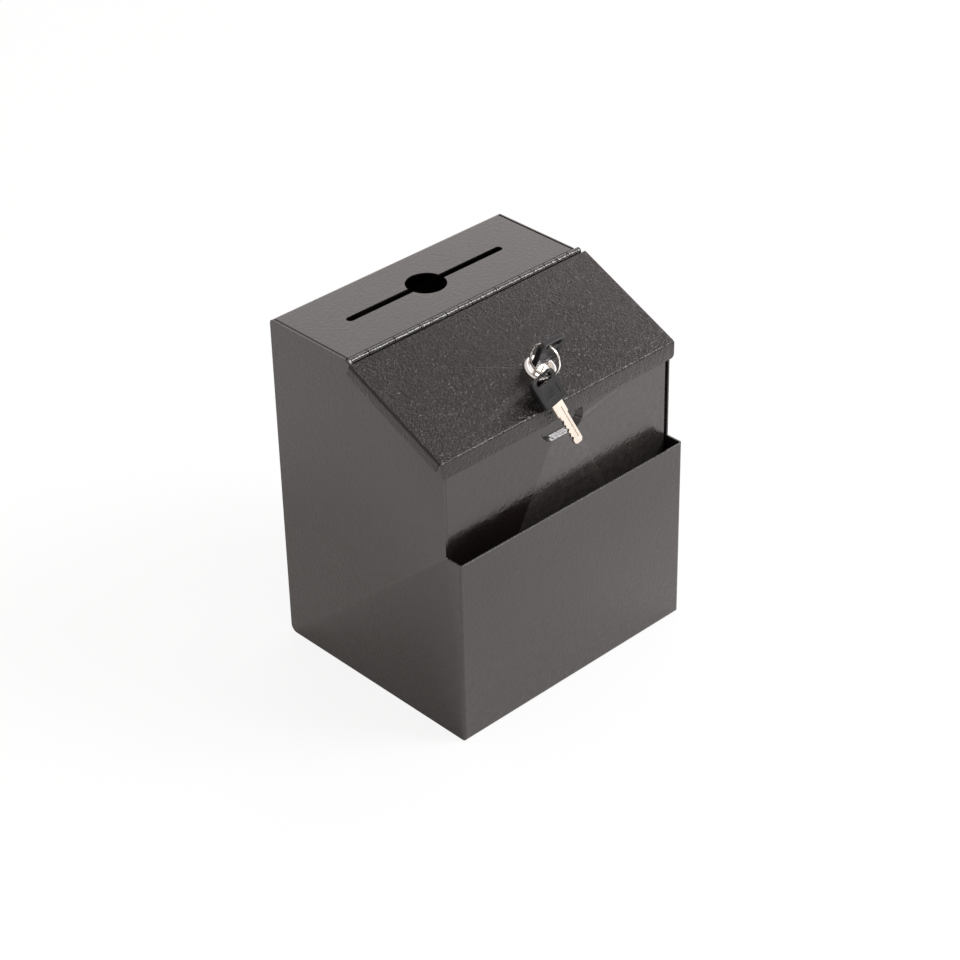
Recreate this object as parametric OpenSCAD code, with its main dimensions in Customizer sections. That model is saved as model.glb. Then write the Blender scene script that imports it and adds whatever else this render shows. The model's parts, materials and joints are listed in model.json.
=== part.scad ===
// Lockable donation box in folded sheet steel, with a card pocket in front,
// a money slot and coin hole in the top, and a sloping lid on a piano hinge.
// Millimetres. +Z is up, -Y is the front, and the origin is the centre of the base.

/* [Body] */
// Width over the side panels
body_w = 178; // [150:1:220]
// Depth from the back panel to the pocket front
body_d = 152.4; // [148:0.2:175]
// Height of the box
body_h = 216; // [200:1:250]
// Height of the card pocket front
pocket_h = 121.3; // [90:0.1:140]
// Depth of the step from the pocket front to the side panel edges
pocket_step = 11.7; // [9:0.1:15]
// Thickness of the sheet steel
sheet = 1; // [0.8:0.1:1.2]

/* [Money slot] */
// Length of the slot in the top
slot_len = 120; // [80:1:130]
// Width of the slot
slot_w = 5; // [3:0.5:8]
// Diameter of the coin hole in the middle of the slot
coin_d = 24.5; // [20:0.5:35]
// Distance of the slot from the back of the box
slot_back = 32.7; // [28:0.1:40]

/* [Lid] */
// Slope of the lid
lid_slope = 24.1; // [22:0.1:26]
// Length of the lid along its slope
lid_len = 78.9; // [76:0.1:80]
// Width of the lid over its side flanges
lid_w = 184.6; // [182:0.1:200]
// Drop of the lid's front corner below the top
lid_drop = 32.1; // [31:0.1:34]
// Height of the lip along the lid's front edge
lip_h = 10.3; // [8:0.1:12]
// Depth of the lid's side flanges
flange_h = 7; // [5:0.5:8]

/* [Hinge] */
// Diameter of the hinge barrel
barrel_d = 4; // [3.6:0.1:4.4]
// Diameter of the hinge pin
pin_d = 2; // [1.5:0.1:2.2]
// Number of knuckles on the barrel
knuckles = 18; // [8:2:24]
// Length of the first knuckle
first_knuckle = 12.8; // [8:0.1:14]

/* [Lock] */
// Distance of the lock from the lid's front edge, along the slope
lock_v = 20.8; // [20:0.1:24]
// Distance of the lock from the middle of the lid
lock_x = -0.7; // [-5:0.1:5]
// Diameter of the lock's head
head_d = 19; // [18:0.5:22]
// Height of the lock's head above the lid
head_h = 8; // [6:0.5:9]

/* [Keys] */
// Width of a key's plastic head
bow_w = 19; // [17:0.1:20]
// Height of a key's plastic head
bow_h = 18.2; // [17:0.1:20]
// Thickness of a key's plastic head
bow_t = 3.6; // [3:0.1:4]
// Mean radius of the split ring
ring_r = 9.3; // [9.1:0.1:9.5]

/* [Wall mounting] */
// Hole spacing across the back
hole_span_x = 120; // [80:1:130]
// Hole spacing up the back
hole_span_z = 130; // [80:1:150]
// Diameter of the mounting holes
hole_d = 5; // [4:0.5:6]

/* [Hidden] */
$fn = 64;

// Clearance between pieces that are welded or clamped face to face
gap = 0.05;
// Steps in a rounded bend
steps = 6;

// Faces and edges of the body
back_y = body_d / 2;
front_y = -body_d / 2;
side_front_y = front_y + pocket_step;
panel_y = side_front_y + 0.9;
inner_x = body_w / 2 - sheet;
top_front_y = back_y - 63.8;
weld_flange = 12;

// The lid's frame: its origin is the outer corner of the front edge, Y runs up the slope
lid_y = side_front_y - 1.4;
lid_z = body_h - lid_drop;
lid_top_v = lid_len - 0.5;
lid_side_x = lid_w / 2;
side_edge_n = -3.4;
flange_n = -sheet - 0.35;
flange_v = 8.5;

// Hinge
barrel_r = barrel_d / 2;
leaf_t = 0.8;
leaf_w = 13;
hinge_y = lid_y + lid_len * cos(lid_slope) + barrel_r + 0.2;
hinge_z = body_h - sheet - gap - leaf_t + barrel_r;
hinge_n = (hinge_z - lid_z) * cos(lid_slope) - (hinge_y - lid_y) * sin(lid_slope);
barrel_x = body_w / 2 - 0.1;
next_knuckle = (2 * barrel_x - first_knuckle) / (knuckles - 1);
gap_open = 0.6;
gap_tight = 0.15;

// Finger recess pressed into the front panel
recess_x = 2.5;
recess_z = 168;
recess_r = 8.5;
recess_half = 8;
recess_depth = 3;
recess_slope = 2.2;

// Lock, in the frame of the lid with its origin on the lock's axis
barrel_lock_r = 8;
barrel_flat = 7;
barrel_end = -15.5;
plug_r = 6;
plug_face = 5.8;
shank_half = 3;
cam_top = -17.2;
cam_t = 1.5;
cam_reach = 17.3;
wafer_count = 5;
wafer_first = 2.6;
wafer_pitch = 2.7;
wafer_t = 1;
wafer_half = 3.1;
keyway_end = -12.8;

// Keys: Z = 0 is the shoulder that stops against the plug, and the head is above it
blade_w = 6.4;
blade_t = 1.9;
blade_len = 18.4;
shoulder_w = 8.3;
shoulder_h = 7.4;
tang_h = 4;
bow_top = shoulder_h + bow_h;
eye_half = 4.1;
eye_r = 1.9;
eye_z = bow_top - 2.9;
label_half = 5.9;

// Split ring: it hangs in the eye of the key in the lock, and the spare key hangs on its front
wire_w = 1.1;
coil_w = 1.3;
hang = [-3.4, -0.7, plug_face + eye_z + 0.15];
ring_turn = [10.4, 5.3, 13.35];
spare_angle = 158;
spare_lean = -30;
spare_roll = -11.5;
spare_hang = [4.2, 0, eye_z + 0.05];

// ---- Two-dimensional helpers ----

// Direction from point a to point b
function dir(a, b) = (b - a) / norm(b - a);

// Direction d turned a quarter turn to the left
function left(d) = [-d[1], d[0]];

// Vector v turned by angle a
function turned(v, a) = [v[0] * cos(a) - v[1] * sin(a), v[0] * sin(a) + v[1] * cos(a)];

// Signed angle from direction a to direction b
function turn(a, b) = atan2(a[0] * b[1] - a[1] * b[0], a * b);

// Arc that rounds the corner p1 of a path at radius r, drawn at a distance to the path's left
function corner(p0, p1, p2, r, side) =
    let (a = dir(p0, p1),
         b = dir(p1, p2),
         angle = turn(a, b),
         s = sign(angle),
         centre = p1 + s * r * (left(a) + left(b)) / (1 + a * b))
    [for (k = [0 : steps]) centre - s * (r - s * side) * turned(left(a), angle * k / steps)];

// Edge of a bent sheet at a distance to the left of its path; r holds one outer radius per bend
function sheet_edge(path, r, t, side) =
    let (n = len(path) - 1)
    [for (i = [0 : n]) each
        i == 0 ? [path[0] + side * left(dir(path[0], path[1]))]
        : i == n ? [path[n] + side * left(dir(path[n - 1], path[n]))]
        : corner(path[i - 1], path[i], path[i + 1], r[i - 1], side)];

// Points in the opposite order
function reversed(list) = [for (i = [len(list) - 1 : -1 : 0]) list[i]];

// Section of a sheet of thickness t bent to the left along a path
module bent(path, r, t = sheet) {
    polygon(concat(sheet_edge(path, r, t, 0), reversed(sheet_edge(path, r, t, t))));
}

// Closed outline with each corner rounded to its own radius
module rounded(points, r) {
    n = len(points);
    polygon([for (i = [0 : n - 1]) each
        r[i] == 0 ? [points[i]]
        : corner(points[(i + n - 1) % n], points[i], points[(i + 1) % n], r[i], 0)]);
}

// Rectangle centred on the origin in X, from z0 to z1, with all four corners rounded
module plate_outline(half, z0, z1, r) {
    rounded([[-half, z0], [half, z0], [half, z1], [-half, z1]], [r, r, r, r]);
}

// ---- Three-dimensional helpers ----

// Extrudes a section drawn in the side view (Y, Z) across the box
module across(w) {
    rotate([90, 0, 90]) linear_extrude(height = w, center = true) children();
}

// Extrudes a section drawn in the front view (X, Z) from y0 back to y1
module backward(y0, y1) {
    translate([0, y1, 0]) rotate([90, 0, 0]) linear_extrude(height = y1 - y0) children();
}

// Places children in the lid's frame: X across, Y up the slope, Z out of the lid
module on_lid() {
    translate([0, lid_y, lid_z]) rotate([lid_slope, 0, 0]) children();
}

// Places children on the lock's axis
module on_lock() {
    on_lid() translate([lock_x, lock_v, 0]) children();
}

// Side view point of a place in the lid's frame
function lid_point(v, n) = [lid_y, lid_z] + turned([v, n], lid_slope);

// Round bar or hole along the lock's axis between two heights
module rod(r, z0, z1) {
    translate([0, 0, z0]) cylinder(h = z1 - z0, r = r);
}

// Pair of mirrored copies, left and right
module both_sides() {
    children();
    mirror([1, 0, 0]) children();
}

// ---- Body ----

// Side view outline of the side panels: step at the pocket, slope under the lid
module side_outline() {
    slope_back = [top_front_y, lid_z + ((top_front_y - lid_y) * sin(lid_slope) + side_edge_n) / cos(lid_slope)];
    slope_front = [side_front_y, lid_z + ((side_front_y - lid_y) * sin(lid_slope) + side_edge_n) / cos(lid_slope)];
    rounded([[front_y, 0], [back_y, 0], [back_y, body_h], [top_front_y, body_h], slope_back, slope_front,
             [side_front_y, pocket_h], [front_y, pocket_h]],
            [2, 4.5, 2.5, 0.3, 0, 1, 0.5, 0.3]);
}

// Both side panels and the pocket front, one sheet bent round the front corners
module outer_shell() {
    half = body_w / 2;
    color("#3b3a39")
    intersection() {
        linear_extrude(height = body_h)
            bent([[-half, back_y], [-half, front_y], [half, front_y], [half, back_y]], [2, 2]);
        across(body_w + 2) side_outline();
    }
}

// Money slot with rounded ends and the coin hole in its middle
module money_slot() {
    translate([0, back_y - slot_back, body_h - 3]) {
        cylinder(h = 6, d = coin_d);
        translate([-(slot_len - slot_w) / 2, -slot_w / 2, 0]) cube([slot_len - slot_w, slot_w, 6]);
        both_sides() translate([(slot_len - slot_w) / 2, 0, 0]) cylinder(h = 6, d = slot_w);
    }
}

// Four holes for wall screws
module wall_holes() {
    for (x = [-1, 1], z = [-1, 1])
        translate([x * hole_span_x / 2, back_y + 3, body_h / 2 + z * hole_span_z / 2])
            rotate([90, 0, 0]) cylinder(h = 10, d = hole_d);
}

// Bottom, back and top, one sheet with weld flanges against the side panels, notched at the front corners
module core_shell() {
    half = inner_x - gap;
    fold_y = front_y + sheet + gap;
    color("#454341")
    difference() {
        union() {
            across(2 * half)
                bent([[fold_y, weld_flange], [fold_y, 0], [back_y, 0], [back_y, body_h], [back_y - 2.6, body_h]],
                     [2, 4.5, 2.5]);
            backward(top_front_y, back_y - 2.5)
                bent([[half, body_h - weld_flange], [half, body_h], [-half, body_h], [-half, body_h - weld_flange]],
                     [1.5, 1.5]);
            both_sides() translate([half - sheet, back_y - weld_flange, weld_flange])
                cube([sheet, weld_flange - 0.5, body_h - 3 * weld_flange]);
            both_sides() translate([half - sheet, panel_y + 16, 0.5])
                cube([sheet, body_d - 50, weld_flange]);
        }
        money_slot();
        wall_holes();
        both_sides() translate([half - 1.2, fold_y - 1, -1]) cube([2, 3.2, weld_flange + 2]);
    }
}

// Soft-sided obround pressing that narrows with depth
module pressing(r, depth, slope) {
    hull() both_sides() translate([recess_half, 0, 0]) rotate([-90, 0, 0])
        cylinder(h = depth, r1 = r, r2 = r - slope, $fn = 32);
}

// Front panel behind the pocket, with a finger recess under the lid's lip
module front_panel() {
    half = inner_x - gap;
    top = lid_point(flange_v, flange_n);
    fold = [panel_y, lid_z + ((panel_y - lid_y) * sin(lid_slope) + flange_n) / cos(lid_slope)];
    base_z = sheet + gap;
    color("#403f3e")
    difference() {
        union() {
            across(2 * half - 8)
                bent([top, fold, [panel_y, base_z], [panel_y + weld_flange, base_z]], [1.8, 2]);
            translate([0, 0, 14]) linear_extrude(height = fold[1] - 20)
                bent([[-half, panel_y + weld_flange], [-half, panel_y], [half, panel_y], [half, panel_y + weld_flange]],
                     [1.8, 1.8]);
            translate([recess_x, panel_y + 0.2, recess_z]) pressing(recess_r + 0.6, recess_depth + 0.8, recess_slope);
        }
        translate([recess_x, panel_y - 0.01, recess_z]) pressing(recess_r, recess_depth, recess_slope);
    }
}

// Catch for the cam: an angle hung from the front panel's top flange
module strike_plate() {
    t = 1.2;
    top_n = flange_n - sheet - gap;
    color("#9a9c9e")
    across(24)
        bent([lid_point(flange_v - 0.3, cam_top + 0.6), lid_point(flange_v - 0.3, top_n), lid_point(3.4, top_n)],
             [2], t);
}

// ---- Hinge ----

// Start of knuckle i along the barrel
function knuckle_start(i) = -barrel_x + (i == 0 ? 0 : first_knuckle + (i - 1) * next_knuckle);

// End of knuckle i, shortened by the gap to the next one
function knuckle_end(i) = i == knuckles - 1 ? barrel_x : knuckle_start(i + 1) - (i % 2 == 0 ? gap_open : gap_tight);

// Bars along X in the hinge's frame, for every second knuckle from the first given
module knuckle_bars(first, r, grow = 0) {
    for (i = [first : 2 : knuckles - 1])
        translate([knuckle_start(i) - grow, 0, 0]) rotate([0, 90, 0])
            cylinder(h = knuckle_end(i) - knuckle_start(i) + 2 * grow, r = r);
}

// Tabs that join a leaf to its own knuckles, lying between two distances from the axis
module knuckle_tabs(first, y0, y1, z0, limit) {
    for (i = [first : 2 : knuckles - 1])
        translate([max(knuckle_start(i), -limit), y0, z0])
            cube([min(knuckle_end(i), limit) - max(knuckle_start(i), -limit), y1 - y0, leaf_t]);
}

// Moves children to the hinge's axis
module on_hinge() {
    translate([0, hinge_y, hinge_z]) children();
}

// Hinge leaf under the top panel, with every second knuckle from the left end
module hinge_leaf_fixed() {
    limit = inner_x - sheet - 0.6;
    color("#333231")
    on_hinge() difference() {
        union() {
            knuckle_bars(0, barrel_r);
            knuckle_tabs(0, 0, barrel_r + 1, -barrel_r, limit);
            translate([-limit, barrel_r + 0.4, -barrel_r]) cube([2 * limit, leaf_w, leaf_t]);
        }
        rotate([0, 90, 0]) cylinder(h = body_w + 4, d = pin_d + 0.1, center = true);
    }
}

// Hinge leaf under the lid, with the other knuckles
module hinge_leaf_lid() {
    limit = barrel_x;
    rise = -sheet - gap - leaf_t - hinge_n;
    color("#333231")
    on_hinge() rotate([lid_slope, 0, 0]) difference() {
        union() {
            knuckle_bars(1, barrel_r);
            knuckle_tabs(1, -barrel_r - 1, 0, rise, limit);
            translate([-limit, -barrel_r - 0.4 - leaf_w, rise]) cube([2 * limit, leaf_w, leaf_t]);
        }
        rotate([0, 90, 0]) cylinder(h = body_w + 4, d = pin_d + 0.1, center = true);
    }
}

// Pin through all the knuckles
module hinge_pin() {
    color("#77787a")
    on_hinge() rotate([0, 90, 0]) cylinder(h = 2 * barrel_x - 0.2, d = pin_d, center = true);
}

// ---- Lid ----

// Section of the lock's barrel: round with two flats
module barrel_section(r, flat) {
    intersection() {
        circle(r = r);
        square([2 * flat, 2 * r + 1], center = true);
    }
}

// Sloping lid with a front lip and side flanges
module lid() {
    lip_half = lid_side_x - 1.1;
    color("#2f2e2d")
    difference() {
        union() {
            intersection() {
                on_lid() across(2 * lip_half)
                    bent([[2, 0], [0, 0], -lip_h * [sin(lid_slope), cos(lid_slope)]], [1.5]);
                backward(lid_y - 5, lid_y + 20) plate_outline(lip_half, lid_z - lip_h, lid_z + 20, 2.5);
            }
            on_lid() backward(1.4, lid_top_v)
                bent([[lid_side_x, -flange_h], [lid_side_x, 0], [-lid_side_x, 0], [-lid_side_x, -flange_h]],
                     [1.5, 1.5]);
        }
        on_lock() translate([0, 0, -3]) linear_extrude(height = 6)
            barrel_section(barrel_lock_r + 0.1, barrel_flat + 0.1);
    }
}

// ---- Lock ----

// Lock body: chromed head on the lid and a threaded barrel through it
module lock_housing() {
    chamfer = 0.8;
    top_r = head_d / 2 - chamfer;
    color("#d9dadb")
    on_lock() difference() {
        union() {
            rod(head_d / 2, 0, head_h - chamfer);
            translate([0, 0, head_h - chamfer]) cylinder(h = chamfer, r1 = head_d / 2, r2 = top_r);
            translate([0, 0, barrel_end]) linear_extrude(height = 1 - barrel_end)
                barrel_section(barrel_lock_r, barrel_flat);
        }
        rod(plug_r + 0.05, barrel_end - 1, head_h + 1);
        translate([0, 0, plug_face + 0.2]) cylinder(h = head_h - plug_face, r1 = plug_r, r2 = plug_r + 1.6);
        translate([-plug_r - 1, -wafer_half - 0.2, barrel_end + 2])
            cube([2 * plug_r + 2, 2 * wafer_half + 0.4, plug_face - barrel_end - 3]);
    }
}

// Washer between the lid and the nut
module lock_washer() {
    color("#b9bbbd")
    on_lock() difference() {
        rod(11.4, -sheet - gap - 0.8, -sheet - gap);
        rod(barrel_lock_r + 0.1, -5, 5);
    }
}

// Hexagon nut that clamps the lock to the lid
module lock_nut() {
    top_n = -sheet - 2 * gap - 0.8;
    color("#b9bbbd")
    on_lock() difference() {
        translate([0, 0, top_n - 3.5]) cylinder(h = 3.5, r = 10.9, $fn = 6);
        rod(barrel_lock_r + 0.05, -8, 1);
    }
}

// Height of wafer i on the lock's axis
function wafer_z(i) = wafer_first - i * wafer_pitch;

// Turning core of the lock, with its keyway, wafer slots, spring pockets and square shank
module lock_plug() {
    slot_half = wafer_t / 2 + 0.1;
    color("#c9cacb")
    on_lock() difference() {
        union() {
            rod(plug_r, barrel_end + 0.1, plug_face);
            rod(4.6, cam_top + gap, barrel_end + 0.2);
            translate([-shank_half, -shank_half, cam_top - cam_t]) cube([2 * shank_half, 2 * shank_half, 4]);
        }
        translate([-blade_w / 2 - 0.15, -blade_t / 2 - 0.15, keyway_end])
            cube([blade_w + 0.3, blade_t + 0.3, plug_face - keyway_end + 1]);
        for (i = [0 : wafer_count - 1])
            translate([0, 0, wafer_z(i)]) {
                translate([-plug_r - 1, -wafer_half - 0.1, -slot_half])
                    cube([2 * plug_r + 2, 2 * wafer_half + 0.2, 2 * slot_half]);
                translate([-1.6, wafer_half, -0.6]) cube([3.2, 1.6, 1.2]);
            }
        rod(2.05, cam_top - cam_t - 1, keyway_end - 1.4);
    }
}

// Flat wafers in the plug, drawn level with the plug by the key
module wafers() {
    color("#c8a85a")
    on_lock() for (i = [0 : wafer_count - 1])
        translate([0, 0, wafer_z(i) - wafer_t / 2]) linear_extrude(height = wafer_t)
            difference() {
                intersection() {
                    circle(r = plug_r - 0.1);
                    square([2 * plug_r, 2 * wafer_half], center = true);
                }
                square([blade_w + 0.6, blade_t + 0.6], center = true);
            }
}

// One coil spring beside each wafer
module wafer_springs() {
    wire = 0.15;
    turns = 5;
    pitch = 0.36;
    color("#a7a9ab")
    on_lock() for (i = [0 : wafer_count - 1], k = [0 : turns - 1])
        translate([(k - (turns - 1) / 2) * pitch, wafer_half + 0.8, wafer_z(i)]) rotate([0, 90, 0])
            rotate_extrude($fn = 24) translate([0.36, 0]) circle(r = wire, $fn = 13);
}

// Cam on the plug's shank; at rest it points sideways, clear of the catch
module lock_cam() {
    tip_r = 4;
    color("#b4b6b8")
    on_lock() translate([0, 0, cam_top - cam_t]) difference() {
        union() {
            cylinder(h = cam_t, r = 6.5);
            translate([-cam_reach + tip_r, -tip_r, 0]) cube([cam_reach - tip_r, 2 * tip_r, cam_t]);
            translate([-cam_reach + tip_r, 0, 0]) cylinder(h = cam_t, r = tip_r);
        }
        translate([-shank_half - gap, -shank_half - gap, -1])
            cube([2 * (shank_half + gap), 2 * (shank_half + gap), cam_t + 2]);
    }
}

// Washer under the cam screw
module cam_washer() {
    color("#b9bbbd")
    on_lock() difference() {
        rod(5, cam_top - cam_t - gap - 0.6, cam_top - cam_t - gap);
        rod(2.1, cam_top - cam_t - 3, cam_top);
    }
}

// Cross-headed screw that holds the cam
module cam_screw() {
    head_top = cam_top - cam_t - 2 * gap - 0.6;
    color("#b9bbbd")
    on_lock() difference() {
        union() {
            rod(3.9, head_top - 1.4, head_top);
            translate([0, 0, head_top - 2.2]) cylinder(h = 0.8, r1 = 3, r2 = 3.9);
            rod(2, head_top - 0.5, keyway_end - 1.6);
        }
        for (a = [0, 90]) rotate([0, 0, a]) translate([-2.2, -0.45, head_top - 3]) cube([4.4, 0.9, 2]);
    }
}

// ---- Keys ----

// Outline of the metal blade in the key's own frame, with five cuts on one edge
module blade_outline() {
    cuts = [0.9, 0.5, 1.2, 0.7, 1.1];
    cut_flat = 0.8;
    edge = -blade_w / 2;
    polygon(concat(
        [[-shoulder_w / 2, shoulder_h + tang_h], [-shoulder_w / 2, 0], [edge, 0]],
        [for (i = [0 : wafer_count - 1], s = [-1, -0.3, 0.3, 1])
            [edge + (abs(s) < 1 ? cuts[i] : 0), wafer_z(i) - plug_face - gap - s * (cut_flat + 0.35)]],
        [[edge, 0.9 - blade_len], [edge + 1.5, -blade_len], [1.9, -blade_len], [blade_w / 2, 1.3 - blade_len],
         [blade_w / 2, 0], [shoulder_w / 2, 0], [shoulder_w / 2, shoulder_h + tang_h]]));
}

// Metal blade with a milled groove on each face
module blade() {
    difference() {
        backward(-blade_t / 2, blade_t / 2) blade_outline();
        for (y = [-blade_t / 2 - 0.6, blade_t / 2 - 0.4])
            translate([0.3, y, -blade_len + 2.4]) cube([1.1, 1, blade_len + 2]);
    }
}

// Black plastic head with an eye for the ring and a plain sunk panel on each face
module bow() {
    half = bow_w / 2;
    foot = half - 0.6;
    difference() {
        backward(-bow_t / 2, bow_t / 2)
            rounded([[-foot, shoulder_h], [foot, shoulder_h], [half, bow_top], [-half, bow_top]], [2.2, 2.2, 2.6, 2.6]);
        backward(-bow_t, bow_t) {
            translate([-eye_half, eye_z - eye_r]) square([2 * eye_half, 2 * eye_r]);
            for (x = [-eye_half, eye_half]) translate([x, eye_z]) circle(r = eye_r);
        }
        for (y = [-bow_t / 2 - 1, bow_t / 2 - 0.3])
            translate([-label_half, y, shoulder_h + 3.8]) cube([2 * label_half, 1.3, 6.4]);
        translate([-shoulder_w / 2 - gap, -blade_t / 2 - gap, shoulder_h - 1])
            cube([shoulder_w + 2 * gap, blade_t + 2 * gap, tang_h + 1 + gap]);
    }
}

// Places the key that is in the lock
module in_lock() {
    on_lock() translate([0, 0, plug_face + gap]) children();
}

// Places the split ring: X is its axis and the origin is its centre
module on_ring() {
    on_lock() translate(hang) rotate([-lid_slope, 0, 0]) rotate(ring_turn) translate([0, 0, -ring_r]) children();
}

// Places the spare key: it hangs on the front of the ring, over the lid's front edge
module on_spare() {
    on_ring() rotate([spare_angle, 0, 0]) translate([0, 0, ring_r])
        rotate([-spare_angle - ring_turn[0], 0, 0]) rotate([0, -ring_turn[1], 0]) rotate([0, 0, -ring_turn[2]])
            rotate([spare_lean, 0, 0]) rotate([0, spare_roll, 0]) translate(-spare_hang) children();
}

module key_blade() {
    color("#d8d3c6") in_lock() blade();
}

module key_head() {
    color("#1d1e1f") in_lock() bow();
}

// Split ring, drawn as its two coils pressed together
module key_ring() {
    color("#d4d5d6")
    on_ring() rotate([0, 90, 0])
        rotate_extrude() translate([ring_r - wire_w / 2, -coil_w / 2]) square([wire_w, coil_w]);
}

module spare_key_blade() {
    color("#d8d3c6") on_spare() blade();
}

module spare_key_head() {
    color("#1d1e1f") on_spare() bow();
}

outer_shell();
core_shell();
front_panel();
strike_plate();
hinge_leaf_fixed();
hinge_pin();
lid();
hinge_leaf_lid();
lock_housing();
lock_washer();
lock_nut();
lock_plug();
wafers();
wafer_springs();
lock_cam();
cam_washer();
cam_screw();
key_blade();
key_head();
key_ring();
spare_key_blade();
spare_key_head();
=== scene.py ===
"""Looks of the lockable donation box: finishes for the CAD parts, and finer meshes for the
key heads, split ring, springs and lock thread."""
import json
import math

import bmesh
import bpy
from mathutils import Matrix, Vector


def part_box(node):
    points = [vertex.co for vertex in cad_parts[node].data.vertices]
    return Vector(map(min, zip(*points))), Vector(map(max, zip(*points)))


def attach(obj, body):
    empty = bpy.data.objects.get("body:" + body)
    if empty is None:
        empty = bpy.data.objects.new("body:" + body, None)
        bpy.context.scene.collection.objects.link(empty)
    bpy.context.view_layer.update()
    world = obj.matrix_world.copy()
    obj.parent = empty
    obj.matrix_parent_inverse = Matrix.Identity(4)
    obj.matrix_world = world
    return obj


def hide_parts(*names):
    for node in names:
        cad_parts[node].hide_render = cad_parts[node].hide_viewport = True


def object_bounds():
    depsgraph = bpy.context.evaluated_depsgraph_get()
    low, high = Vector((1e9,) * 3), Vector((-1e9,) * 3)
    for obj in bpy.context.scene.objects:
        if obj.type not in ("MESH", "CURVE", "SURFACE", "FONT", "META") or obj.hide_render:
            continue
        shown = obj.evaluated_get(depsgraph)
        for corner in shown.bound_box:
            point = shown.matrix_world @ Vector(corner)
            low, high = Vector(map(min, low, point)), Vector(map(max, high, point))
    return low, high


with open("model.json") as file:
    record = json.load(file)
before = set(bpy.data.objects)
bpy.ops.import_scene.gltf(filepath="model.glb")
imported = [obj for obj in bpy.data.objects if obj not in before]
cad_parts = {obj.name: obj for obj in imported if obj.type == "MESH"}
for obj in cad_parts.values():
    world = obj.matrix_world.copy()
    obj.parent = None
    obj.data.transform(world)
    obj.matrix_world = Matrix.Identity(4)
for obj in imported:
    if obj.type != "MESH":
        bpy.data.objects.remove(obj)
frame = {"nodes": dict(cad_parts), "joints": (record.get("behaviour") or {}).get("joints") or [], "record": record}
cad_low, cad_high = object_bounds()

MM = 0.001
nodes = frame["nodes"]
joints = {j["name"]: j for j in frame["joints"]}
slot_of = {s["node"]: s["material_slot"] for s in frame["record"]["subparts"]}


# ---- Material nodes ----

class Shader:
    """A material's node tree with short calls for the nodes used here."""

    def __init__(self, name):
        self.material = bpy.data.materials.new(name)
        self.material.use_nodes = True
        self.tree = self.material.node_tree
        self.surface = self.tree.nodes["Principled BSDF"]
        self.coords = self.tree.nodes.new("ShaderNodeTexCoord").outputs["Object"]

    def put(self, socket, value):
        if isinstance(value, bpy.types.NodeSocket):
            self.tree.links.new(value, socket)
        else:
            socket.default_value = value

    def node(self, kind, settings=None, **inputs):
        n = self.tree.nodes.new("ShaderNode" + kind)
        for key, value in (settings or {}).items():
            setattr(n, key, value)
        for key, value in inputs.items():
            self.put(n.inputs[key.replace("_", " ")], value)
        return n.outputs[0]

    def noise(self, size, detail=2.0, roughness=0.5, stretch=None):
        """Noise with features about `size` metres across, optionally stretched along an axis."""
        vector = self.coords
        if stretch:
            vector = self.vector("MULTIPLY", self.coords, stretch)
        return self.node("TexNoise", Vector=vector, Scale=1 / size, Detail=detail, Roughness=roughness)

    def cells(self, size):
        """Soft-edged grains about `size` metres across."""
        return self.node("TexVoronoi", settings={"feature": "SMOOTH_F1"}, Vector=self.coords,
                         Scale=1 / size, Smoothness=0.6)

    def math(self, operation, a, b):
        n = self.tree.nodes.new("ShaderNodeMath")
        n.operation = operation
        self.put(n.inputs[0], a)
        self.put(n.inputs[1], b)
        return n.outputs[0]

    def span(self, value, low, high, new_low, new_high):
        """Maps the range low to high onto new_low to new_high, and clamps it there."""
        n = self.tree.nodes.new("ShaderNodeMapRange")
        inputs = {"Value": value, "From Min": low, "From Max": high, "To Min": new_low, "To Max": new_high}
        for key, v in inputs.items():
            self.put(n.inputs[key], v)
        return n.outputs[0]

    def mix(self, factor, a, b):
        n = self.tree.nodes.new("ShaderNodeMix")
        n.data_type = "RGBA"
        self.put(n.inputs["Factor"], factor)
        self.put(n.inputs["A"], a)
        self.put(n.inputs["B"], b)
        return n.outputs["Result"]

    def scatter(self, size, strength, normal):
        """Tilts the normal at random from grain to grain, as the flecks of a hammered finish do."""
        fleck = self.tree.nodes.new("ShaderNodeTexNoise")
        self.put(fleck.inputs["Vector"], self.coords)
        self.put(fleck.inputs["Scale"], 1 / size)
        self.put(fleck.inputs["Detail"], 1.0)
        tilt = self.vector("SUBTRACT", fleck.outputs["Color"], (0.5, 0.5, 0.5))
        tilt = self.vector("SCALE", tilt, scale=strength)
        return self.vector("NORMALIZE", self.vector("ADD", normal, tilt))

    def vector(self, operation, a, b=None, scale=None):
        n = self.tree.nodes.new("ShaderNodeVectorMath")
        n.operation = operation
        self.put(n.inputs[0], a)
        if b is not None:
            self.put(n.inputs[1], b)
        if scale is not None:
            self.put(n.inputs["Scale"], scale)
        return n.outputs[0]

    def bump(self, height, depth, normal=None):
        n = self.tree.nodes.new("ShaderNodeBump")
        n.inputs["Distance"].default_value = depth
        self.put(n.inputs["Height"], height)
        if normal is not None:
            self.put(n.inputs["Normal"], normal)
        return n.outputs[0]

    def edges(self, low, high):
        """1 on outside edges, 0 on flat faces."""
        geometry = self.tree.nodes.new("ShaderNodeNewGeometry")
        return self.span(geometry.outputs["Pointiness"], low, high, 0.0, 1.0)

    def finish(self, color, roughness, metallic=0.0, normal=None, **more):
        self.put(self.surface.inputs["Base Color"], color)
        self.put(self.surface.inputs["Roughness"], roughness)
        self.surface.inputs["Metallic"].default_value = metallic
        if normal is not None:
            self.put(self.surface.inputs["Normal"], normal)
        for key, value in more.items():
            self.put(self.surface.inputs[key.replace("_", " ")], value)
        return self.material


def rgb(r, g, b):
    return (r, g, b, 1.0)


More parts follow.
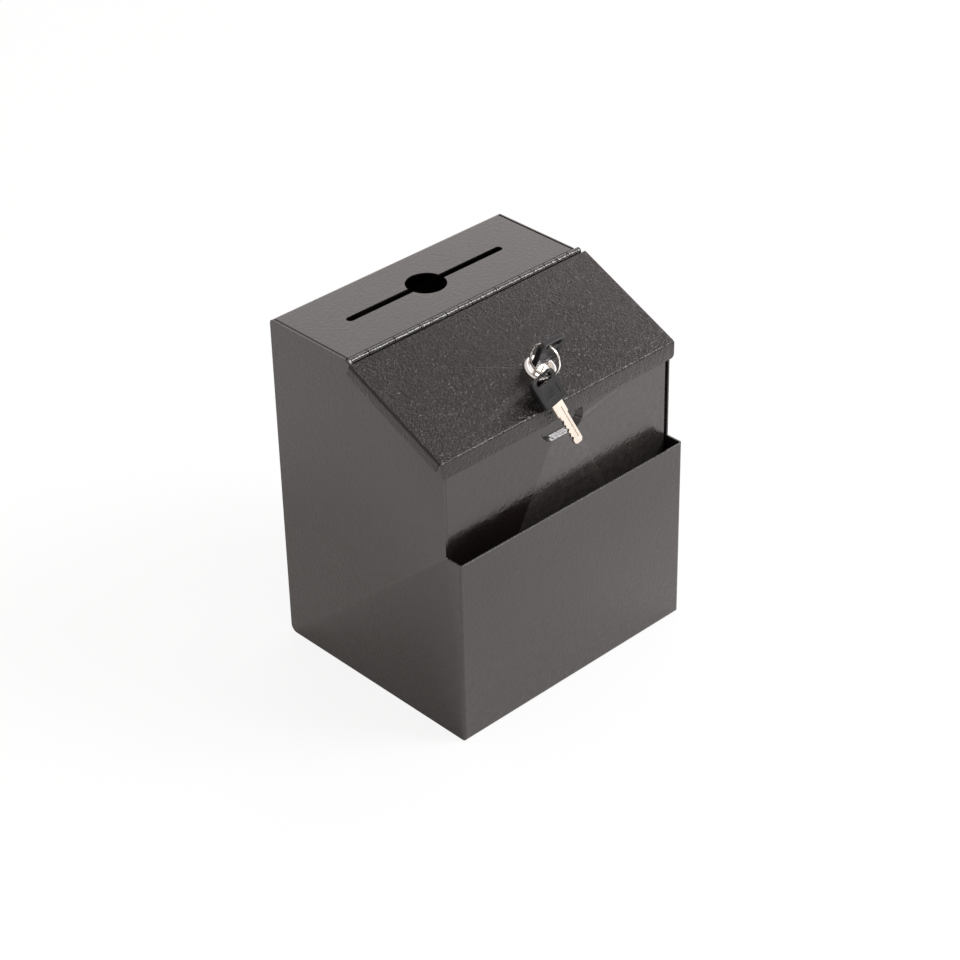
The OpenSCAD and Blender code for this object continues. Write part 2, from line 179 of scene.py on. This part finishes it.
def powder_coat(name, tint, rough, peel, peel_depth, grain, grain_depth, flecks, gloss=0.5):
    """Baked powder coat: orange peel, a finer grain and flecks over it, and thin paint on the edges.

    peel and grain are the sizes of the bumps in metres, and flecks is how far they tilt the surface.
    """
    s = Shader(name)
    normal = s.bump(s.noise(peel, detail=1.0, roughness=0.4), peel_depth)
    normal = s.bump(s.cells(grain), grain_depth, normal)
    normal = s.scatter(grain, flecks, normal)
    tone = s.span(s.noise(0.055, detail=3.0), 0.3, 0.7, 0.0, 1.0)
    color = s.mix(tone, rgb(*[c * 0.8 for c in tint]), rgb(*[c * 1.2 for c in tint]))
    thin = s.math("MULTIPLY", s.edges(0.53, 0.62), s.noise(0.004, detail=4.0))
    color = s.mix(s.math("MULTIPLY", thin, 0.35), color, rgb(0.12, 0.115, 0.11))
    roughness = s.span(s.noise(0.02, detail=4.0), 0.3, 0.7, rough * 0.85, rough * 1.2)
    return s.finish(color, roughness, normal=normal, Specular_IOR_Level=gloss)


def plated(name, tint, rough, grain_axis, grain=0.0004, depth=0.000004, mottled=0.12):
    """Plated or bare metal with fine lines along one axis and slight mottling."""
    s = Shader(name)
    stretch = [1.0, 1.0, 1.0]
    stretch[grain_axis] = 0.06
    lines = s.noise(grain, detail=3.0, roughness=0.6, stretch=tuple(stretch))
    cloud = s.noise(0.006, detail=3.0)
    color = s.mix(s.span(cloud, 0.3, 0.7, 0.0, 1.0), rgb(*tint), rgb(*[c * (1 - mottled) for c in tint]))
    wear = s.math("ADD", lines, s.math("MULTIPLY", cloud, 0.6))
    roughness = s.span(wear, 0.5, 1.1, rough * 0.7, rough * 1.35)
    return s.finish(color, roughness, metallic=1.0, normal=s.bump(lines, depth))


def moulded(name, tint, rough):
    """Moulded plastic with a fine spark-eroded grain, polished a little where fingers rub it, and a painted
    highlight that lightens its edges.
    """
    s = Shader(name)
    grain = s.noise(0.00035, detail=2.0)
    rub = s.noise(0.005, detail=3.0)
    roughness = s.span(rub, 0.3, 0.7, rough * 0.75, rough * 1.2)
    # Painted highlight: the edges are mixed towards a lighter grey, standing in for light caught on the rounded
    # edges.
    color = s.mix(s.math("MULTIPLY", s.edges(0.52, 0.62), 0.6), rgb(*tint), rgb(0.04, 0.041, 0.042))
    return s.finish(color, roughness, normal=s.bump(grain, 0.00002), Specular_IOR_Level=0.28)


BODY_COAT = powder_coat(
    "body_coat", tint=(0.006, 0.0045, 0.004), rough=0.2,
    peel=0.0024, peel_depth=0.00011, grain=0.0010, grain_depth=0.00003, flecks=0.11)
LID_COAT = powder_coat(
    "lid_coat", tint=(0.006, 0.0045, 0.004), rough=0.22,
    peel=0.0018, peel_depth=0.0003, grain=0.0009, grain_depth=0.0002, flecks=0.32, gloss=0.3)
HINGE_COAT = powder_coat(
    "hinge_coat", tint=(0.006, 0.005, 0.0045), rough=0.16,
    peel=0.0018, peel_depth=0.0003, grain=0.0010, grain_depth=0.00005, flecks=0.25)
ALONG_X, ALONG_Y, ALONG_Z = 0, 1, 2
CHROME = plated("chrome_plate", (0.66, 0.65, 0.64), 0.12, ALONG_Z, depth=0.000002, mottled=0.05)
ZINC = plated("zinc_plate", (0.62, 0.63, 0.65), 0.34, ALONG_X)
STEEL = plated("bare_steel", (0.50, 0.50, 0.51), 0.30, ALONG_X)
BRASS = plated("stamped_brass", (0.72, 0.53, 0.24), 0.30, ALONG_X)
NICKEL = plated("nickel_key", (0.64, 0.59, 0.52), 0.37, ALONG_Z, grain=0.00025, depth=0.000006)
RING = plated("ring_wire", (0.84, 0.83, 0.80), 0.16, ALONG_Y, grain=0.00025)
PLASTIC = moulded("black_plastic", (0.006, 0.0065, 0.007), 0.42)

FINISHES = {
    "black_powder_coat": BODY_COAT, "black_textured_lid": LID_COAT, "black_hinge": HINGE_COAT,
    "zinc_plate": ZINC, "steel_pin": STEEL, "chrome": CHROME, "brass": BRASS,
    "nickel_key": NICKEL, "nickel_ring": RING, "black_plastic": PLASTIC,
}

# Width in millimetres of the softened edge on each finish
EDGE = {
    "black_powder_coat": 0.22, "black_textured_lid": 0.4, "black_hinge": 0.25, "zinc_plate": 0.12,
    "chrome": 0.2, "nickel_key": 0.12, "black_plastic": 0.3,
}


# ---- CAD parts ----

def smooth_by_angle(limit):
    """Node group that shades smooth across every edge flatter than the limit."""
    group = bpy.data.node_groups.new("smooth_by_angle", "GeometryNodeTree")
    group.interface.new_socket("Geometry", in_out="INPUT", socket_type="NodeSocketGeometry")
    group.interface.new_socket("Geometry", in_out="OUTPUT", socket_type="NodeSocketGeometry")
    start = group.nodes.new("NodeGroupInput")
    faces = group.nodes.new("GeometryNodeSetShadeSmooth")
    edges = group.nodes.new("GeometryNodeSetShadeSmooth")
    edges.domain = "EDGE"
    edges.inputs["Shade Smooth"].default_value = False
    angle = group.nodes.new("GeometryNodeInputMeshEdgeAngle")
    sharp = group.nodes.new("FunctionNodeCompare")
    sharp.operation = "GREATER_THAN"
    sharp.inputs["B"].default_value = limit
    end = group.nodes.new("NodeGroupOutput")
    link = group.links.new
    link(angle.outputs["Unsigned Angle"], sharp.inputs["A"])
    link(start.outputs[0], faces.inputs["Geometry"])
    link(faces.outputs[0], edges.inputs["Geometry"])
    link(sharp.outputs[0], edges.inputs["Selection"])
    link(edges.outputs[0], end.inputs[0])
    return group


BEND_LIMIT, EDGE_LIMIT = math.radians(32), math.radians(40)
SMOOTH = smooth_by_angle(BEND_LIMIT)


def shade(o):
    """Smooth bends between flat faces that stay flat."""
    o.modifiers.new("smooth", "NODES").node_group = SMOOTH
    weighted = o.modifiers.new("flat_faces", "WEIGHTED_NORMAL")
    weighted.keep_sharp = True


def dress(node):
    """Gives a CAD part its finish, smooth bends and softened edges."""
    o = nodes[node]
    slot = slot_of[node]
    o.data.materials.clear()
    o.data.materials.append(FINISHES[slot])
    if "custom_normal" in o.data.attributes:
        o.data.attributes.remove(o.data.attributes["custom_normal"])
    weld = o.modifiers.new("weld", "WELD")
    weld.merge_threshold = 1e-6
    if slot in EDGE:
        bevel = o.modifiers.new("edge", "BEVEL")
        bevel.width = EDGE[slot] * MM
        bevel.segments = 2
        bevel.limit_method = "ANGLE"
        bevel.angle_limit = EDGE_LIMIT
    shade(o)


for name in nodes:
    dress(name)


# ---- Mesh helpers ----

def add_piece(name, bm, body, slot, replaces=()):
    """Turns a bmesh into a piece that rides on a body and takes a slot's finish."""
    bmesh.ops.remove_doubles(bm, verts=bm.verts, dist=1e-7)
    bmesh.ops.recalc_face_normals(bm, faces=bm.faces)
    mesh = bpy.data.meshes.new(name)
    bm.to_mesh(mesh)
    bm.free()
    mesh.materials.append(FINISHES[slot])
    o = bpy.data.objects.new(name, mesh)
    bpy.context.scene.collection.objects.link(o)
    shade(o)
    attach(o, body)
    if replaces:
        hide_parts(*replaces)


def extent(node, axis, origin):
    """Lowest and highest position of a CAD node's points along an axis through an origin."""
    along = [(v.co - origin).dot(axis) for v in nodes[node].data.vertices]
    return min(along), max(along)


def bridge(bm, loops):
    """Joins closed rings of vertices with quads."""
    rings = [[bm.verts.new(p) for p in loop] for loop in loops]
    count = len(rings[0])
    for a, b in zip(rings, rings[1:]):
        for i in range(count):
            j = (i + 1) % count
            bm.faces.new((a[i], a[j], b[j], b[i]))
    return rings


def sweep(bm, points, sides, sections):
    """Sweeps a section along points; sides holds one pair of unit vectors per point."""
    loops = [[p + u * a + w * b for a, b in sections] for p, (u, w) in zip(points, sides)]
    rings = bridge(bm, loops)
    bm.faces.new(rings[0][::-1])
    bm.faces.new(rings[-1])


# ---- Keys ----

def inset(points, d):
    """Convex outline moved inwards by d; the points run counterclockwise."""
    moved = []
    count = len(points)
    for i, p in enumerate(points):
        a = (p - points[i - 1]).normalized()
        b = (points[(i + 1) % count] - p).normalized()
        m, n = Vector((-a.y, a.x)), Vector((-b.y, b.x))
        moved.append(p + d * (m + n) / (1 + m.dot(n)))
    return moved


def rounded(points, radii, steps=6):
    """Counterclockwise convex outline with rounded corners."""
    out = []
    count = len(points)
    for i, p in enumerate(points):
        a = (p - points[i - 1]).normalized()
        b = (points[(i + 1) % count] - p).normalized()
        m, n = Vector((-a.y, a.x)), Vector((-b.y, b.x))
        r = max(radii[i], 1e-5)
        centre = p + r * (m + n) / (1 + m.dot(n))
        turn = math.atan2(a.x * b.y - a.y * b.x, a.dot(b))
        for k in range(steps + 1):
            angle = turn * k / steps
            c, s = math.cos(angle), math.sin(angle)
            out.append(centre - r * Vector((m.x * c - m.y * s, m.x * s + m.y * c)))
    return out


def slot_outline(half, r, centre_z, grow, steps=8):
    """Counterclockwise outline of a slot with round ends."""
    out = []
    for side, start in ((1, -90), (-1, 90)):
        for k in range(steps + 1):
            angle = math.radians(start + 180 * k / steps)
            reach = r + grow
            out.append(Vector((side * half + reach * math.cos(angle), centre_z + reach * math.sin(angle))))
    return out


def key_head(name, node, body, origin, across, facing, up):
    """Moulded head: crowned edges, a rounded eye for the ring and a plain sunk panel on each face."""
    low_x, high_x = extent(node, across, origin)
    low_y, high_y = extent(node, facing, origin)
    low_z, high_z = extent(node, up, origin)
    middle, half = (low_x + high_x) / 2, (high_x - low_x) / 2
    depth, thick = (low_y + high_y) / 2, (high_y - low_y) / 2
    foot = half - 0.6 * MM
    corners = [Vector((-foot, low_z)), Vector((foot, low_z)), Vector((half, high_z)), Vector((-half, high_z))]
    radii = [2.2 * MM, 2.2 * MM, 2.6 * MM, 2.6 * MM]
    eye_half, eye_r, eye_z = 4.1 * MM, 1.9 * MM, high_z - 2.9 * MM
    soft, eye_soft, steps = 0.7 * MM, 0.55 * MM, 5

    def place(p, y):
        return origin + across * (middle + p.x) + facing * (depth + y) + up * p.y

    bm = bmesh.new()
    outer, inner = [], []
    for side in (-1, 1):
        for k in range(steps + 1):
            a = math.radians(90 * (k if side > 0 else steps - k) / steps)
            d, e = soft * (1 - math.cos(a)), eye_soft * (1 - math.cos(a))
            shell = rounded(inset(corners, d), [r - d for r in radii])
            outer.append([place(p, side * (thick - soft * (1 - math.sin(a)))) for p in shell])
            hole = slot_outline(eye_half, eye_r, eye_z, e)
            inner.append([place(p, side * (thick - eye_soft * (1 - math.sin(a)))) for p in hole])
    outer_rings = bridge(bm, outer)
    inner_rings = bridge(bm, inner)
    label_half, label_low, label_high = 5.9 * MM, low_z + 3.8 * MM, low_z + 10.2 * MM
    label = [Vector((-label_half, label_low)), Vector((label_half, label_low)),
             Vector((label_half, label_high)), Vector((-label_half, label_high))]
    for side, o_ring, i_ring in ((-1, outer_rings[0], inner_rings[0]), (1, outer_rings[-1], inner_rings[-1])):
        panel = []
        for d, sink in ((0.0, 0.0), (0.1 * MM, 0.08 * MM), (0.16 * MM, 0.3 * MM), (0.4 * MM, 0.36 * MM)):
            loop = rounded(inset(label, d), [0.7 * MM - d * 0.9] * 4, 4)
            panel.append([place(p, side * (thick - sink)) for p in loop])
        rings = bridge(bm, panel)
        bm.faces.new(rings[-1])
        edges = []
        for ring in (o_ring, i_ring, rings[0]):
            for i, v in enumerate(ring):
                edges.append(bm.edges.get((v, ring[(i + 1) % len(ring)])))
        bmesh.ops.triangle_fill(bm, use_beauty=True, edges=edges)
    add_piece(name, bm, body, slot_of[node], (node,))


X, Z = Vector((1, 0, 0)), Vector((0, 0, 1))
lock_axis = Vector(joints["plug_turn"]["axis"]).normalized()
lock_foot = Vector(joints["plug_turn"]["pos_m"])
up_slope = lock_axis.cross(X).normalized()
key_head("key_head_moulded", "key_head", "key", lock_foot, X, up_slope, lock_axis)

SPARE_ROLL = math.radians(-11.5)
spare_face = Vector(joints["spare_key_swing"]["axis"]).normalized()
spare_point = Vector(joints["spare_key_swing"]["pos_m"])
roll = Matrix.Rotation(SPARE_ROLL, 3, spare_face)
spare_across = roll @ X
spare_up = roll @ X.cross(spare_face)
key_head("spare_key_head_moulded", "spare_key_head", "spare_key",
         spare_point, spare_across, spare_face, spare_up)


# ---- Split ring ----

def split_ring():
    """Flat wire wound twice round, with the step where one coil crosses to the other."""
    joint = joints["ring_slip"]
    centre, axis = Vector(joint["pos_m"]), Vector(joint["axis"]).normalized()
    reach = [(v.co - centre) - axis * (v.co - centre).dot(axis) for v in nodes["key_ring"].data.vertices]
    outer, inner = max(r.length for r in reach), min(r.length for r in reach)
    width = extent("key_ring", axis, centre)[1]
    mean, half = (outer + inner) / 2, (outer - inner) / 2
    coil = width / 2
    coil_gap = 0.03 * MM
    thin = coil - coil_gap
    u = (spare_point - centre).normalized()
    u = (u - axis * u.dot(axis)).normalized()
    w = axis.cross(u)
    start, cross, count = math.radians(100), math.radians(28), 240
    two_turns = 4 * math.pi * 0.985
    points, sides = [], []
    for k in range(count + 1):
        angle = two_turns * k / count
        share = min(1.0, max(0.0, (angle - 2 * math.pi + cross) / cross))
        share = share * share * (3 - 2 * share)
        out = u * math.cos(start + angle) + w * math.sin(start + angle)
        points.append(centre + out * mean + axis * coil * (2 * share - 1))
        sides.append((out, axis))
    corner = 0.32
    section = []
    for i, (a, b) in enumerate(((1, 1), (-1, 1), (-1, -1), (1, -1))):
        for k in range(4):
            angle = math.radians(90 * i + 30 * k)
            section.append((half * (a * (1 - corner) + corner * math.cos(angle)),
                            thin * (b * (1 - corner) + corner * math.sin(angle))))
    bm = bmesh.new()
    sweep(bm, points, sides, section)
    add_piece("split_ring_coils", bm, "ring", slot_of["key_ring"], ("key_ring",))


split_ring()


# ---- Springs ----

def coil_springs():
    """One coiled wire beside each wafer, where the CAD part has a row of rings."""
    wafers = 5
    low, high = extent("wafer_springs", lock_axis, lock_foot)
    back = extent("wafer_springs", up_slope, lock_foot)
    left, right = extent("wafer_springs", X, lock_foot)
    radius = (back[1] - back[0]) / 2
    depth = (back[0] + back[1]) / 2
    wire = 0.13 * MM
    turns, per_turn, wire_sides = 5, 16, 8
    bm = bmesh.new()
    for i in range(wafers):
        height = low + radius + (high - low - 2 * radius) * i / (wafers - 1)
        middle = lock_foot + up_slope * depth + lock_axis * height
        points, sides = [], []
        for k in range(turns * per_turn + 1):
            angle = 2 * math.pi * k / per_turn
            out = up_slope * math.cos(angle) + lock_axis * math.sin(angle)
            share = k / (turns * per_turn)
            travel = left + wire + (right - left - 2 * wire) * share
            points.append(middle + out * (radius - wire) + X * travel)
            sides.append((out, X))
        around = [2 * math.pi * k / wire_sides for k in range(wire_sides)]
        section = [(wire * math.cos(a), wire * math.sin(a)) for a in around]
        sweep(bm, points, sides, section)
    add_piece("wafer_spring_coils", bm, "plug", slot_of["wafer_springs"], ("wafer_springs",))


coil_springs()


# ---- Lock thread ----

def lock_thread():
    """Rolled thread on the round sides of the lock's barrel, below the nut."""
    barrel_low = extent("lock_housing", lock_axis, lock_foot)[0]
    nut_low = extent("lock_nut", lock_axis, lock_foot)[0]
    root, crest, flat, pitch = 7.95 * MM, 8.35 * MM, 6.95 * MM, 1.0 * MM
    root_half, crest_half = 0.42 * MM, 0.08 * MM
    limit = math.acos(flat / crest)
    start, end = barrel_low + 0.9 * MM, nut_low - 0.3 * MM
    steps = 28
    bm = bmesh.new()
    for side in (0, math.pi):
        for turn in range(int((end - start) / pitch) + 1):
            loops = []
            for k in range(steps + 1):
                angle = limit + (math.pi - 2 * limit) * k / steps
                fade = min(1.0, 4 * min(k, steps - k) / steps + 0.05)
                out = X * math.cos(angle + side) + up_slope * math.sin(angle + side)
                height = start + pitch * (turn + (angle + side) / (2 * math.pi))
                low_point = lock_foot + lock_axis * height + out * root
                high_point = low_point + out * (crest - root) * fade
                loops.append([low_point - lock_axis * root_half, high_point - lock_axis * crest_half,
                              high_point + lock_axis * crest_half, low_point + lock_axis * root_half])
            rings = bridge(bm, loops)
            bm.faces.new(rings[0][::-1])
            bm.faces.new(rings[-1])
    add_piece("lock_thread", bm, "lid", slot_of["lock_housing"])


lock_thread()


# ---- Stage ----

def stage():
    """Plain pale floor, washed out to white where the camera sees it directly."""
    half_width, below_box = 6.0, 0.0002
    glow_share = 0.9
    bm = bmesh.new()
    bmesh.ops.create_grid(bm, x_segments=8, y_segments=8, size=half_width)
    mesh = bpy.data.meshes.new("floor")
    bm.to_mesh(mesh)
    bm.free()
    floor = bpy.data.objects.new("floor", mesh)
    floor.location.z = cad_low.z - below_box
    bpy.context.scene.collection.objects.link(floor)
    s = Shader("floor_paper")
    paper = s.mix(s.noise(0.4, detail=2.0), rgb(0.95, 0.95, 0.95), rgb(0.93, 0.93, 0.93))
    s.finish(paper, 0.9)
    seen = s.tree.nodes.new("ShaderNodeLightPath").outputs["Is Camera Ray"]
    glow = s.node("Emission", Color=rgb(1, 1, 1), Strength=0.96)
    blend = s.tree.nodes.new("ShaderNodeMixShader")
    s.put(blend.inputs[0], s.math("MULTIPLY", seen, glow_share))
    s.put(blend.inputs[1], s.surface.outputs[0])
    s.put(blend.inputs[2], glow)
    s.put(s.tree.nodes["Material Output"].inputs["Surface"], blend.outputs[0])
    mesh.materials.append(s.material)


def studio():
    """World of two brightnesses: a dim warm room with a large bright screen on the right."""
    toward, dim, bright = Vector((0.80, 0.42, 0.43)), rgb(0.96, 0.88, 0.85), rgb(2.05, 1.93, 1.90)
    edge_outside, edge_inside = 0.80, 0.87
    world = bpy.data.worlds.new("studio")
    bpy.context.scene.world = world
    world.use_nodes = True
    tree = world.node_tree
    background = tree.nodes["Background"]
    coords = tree.nodes.new("ShaderNodeTexCoord")
    toward_screen = tree.nodes.new("ShaderNodeVectorMath")
    toward_screen.operation = "DOT_PRODUCT"
    toward_screen.inputs[1].default_value = toward.normalized()
    tree.links.new(coords.outputs["Generated"], toward_screen.inputs[0])
    share = tree.nodes.new("ShaderNodeMapRange")
    share.interpolation_type = "SMOOTHSTEP"
    share.inputs["From Min"].default_value = edge_outside
    share.inputs["From Max"].default_value = edge_inside
    tree.links.new(toward_screen.outputs["Value"], share.inputs["Value"])
    blend = tree.nodes.new("ShaderNodeMix")
    blend.data_type = "RGBA"
    blend.inputs["A"].default_value = dim
    blend.inputs["B"].default_value = bright
    tree.links.new(share.outputs[0], blend.inputs["Factor"])
    tree.links.new(blend.outputs["Result"], background.inputs["Color"])


def softbox(name, place, aim, size, power, color):
    """Round area lamp that faces a point."""
    light = bpy.data.lights.new(name, "AREA")
    light.shape = "DISK"
    light.size = size
    light.energy = power
    light.color = color
    o = bpy.data.objects.new(name, light)
    o.location = place
    o.rotation_mode = "QUATERNION"
    o.rotation_quaternion = (Vector(place) - Vector(aim)).to_track_quat("Z", "Y")
    bpy.context.scene.collection.objects.link(o)


studio()
softbox("softbox_front", place=(1.2, -1.3, 1.8), aim=(0.2, -0.2, 0.0), size=1.2, power=60,
        color=(1.0, 0.98, 1.0))
stage()


# ---- Camera ----

AZIMUTH, ELEVATION, ROLL = math.radians(-43.12), math.radians(33.28), math.radians(-1.29)
DISTANCE, LENS, SENSOR = 1.5378, 98.83, 36.0
AIM_OFFSET = Vector((-0.00306, -0.00122, -0.00454))

camera_data = bpy.data.cameras.new("camera")
camera_data.lens = LENS
camera_data.sensor_width = SENSOR
camera_data.clip_start = 0.05
camera = bpy.data.objects.new("camera", camera_data)
bpy.context.scene.collection.objects.link(camera)
toward = Vector((math.sin(AZIMUTH) * math.cos(ELEVATION),
                 -math.cos(AZIMUTH) * math.cos(ELEVATION),
                 math.sin(ELEVATION)))
right = Z.cross(toward).normalized()
upward = toward.cross(right)
turned_right = right * math.cos(ROLL) + upward * math.sin(ROLL)
turned_up = toward.cross(turned_right)
axes = Matrix((turned_right, turned_up, toward)).transposed()
body_low, body_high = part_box("outer_shell")
aim = (body_low + body_high) / 2 + AIM_OFFSET
camera.matrix_world = Matrix.Translation(aim + toward * DISTANCE) @ axes.to_4x4()
bpy.context.scene.camera = camera
bpy.context.scene.view_settings.view_transform = "Standard"
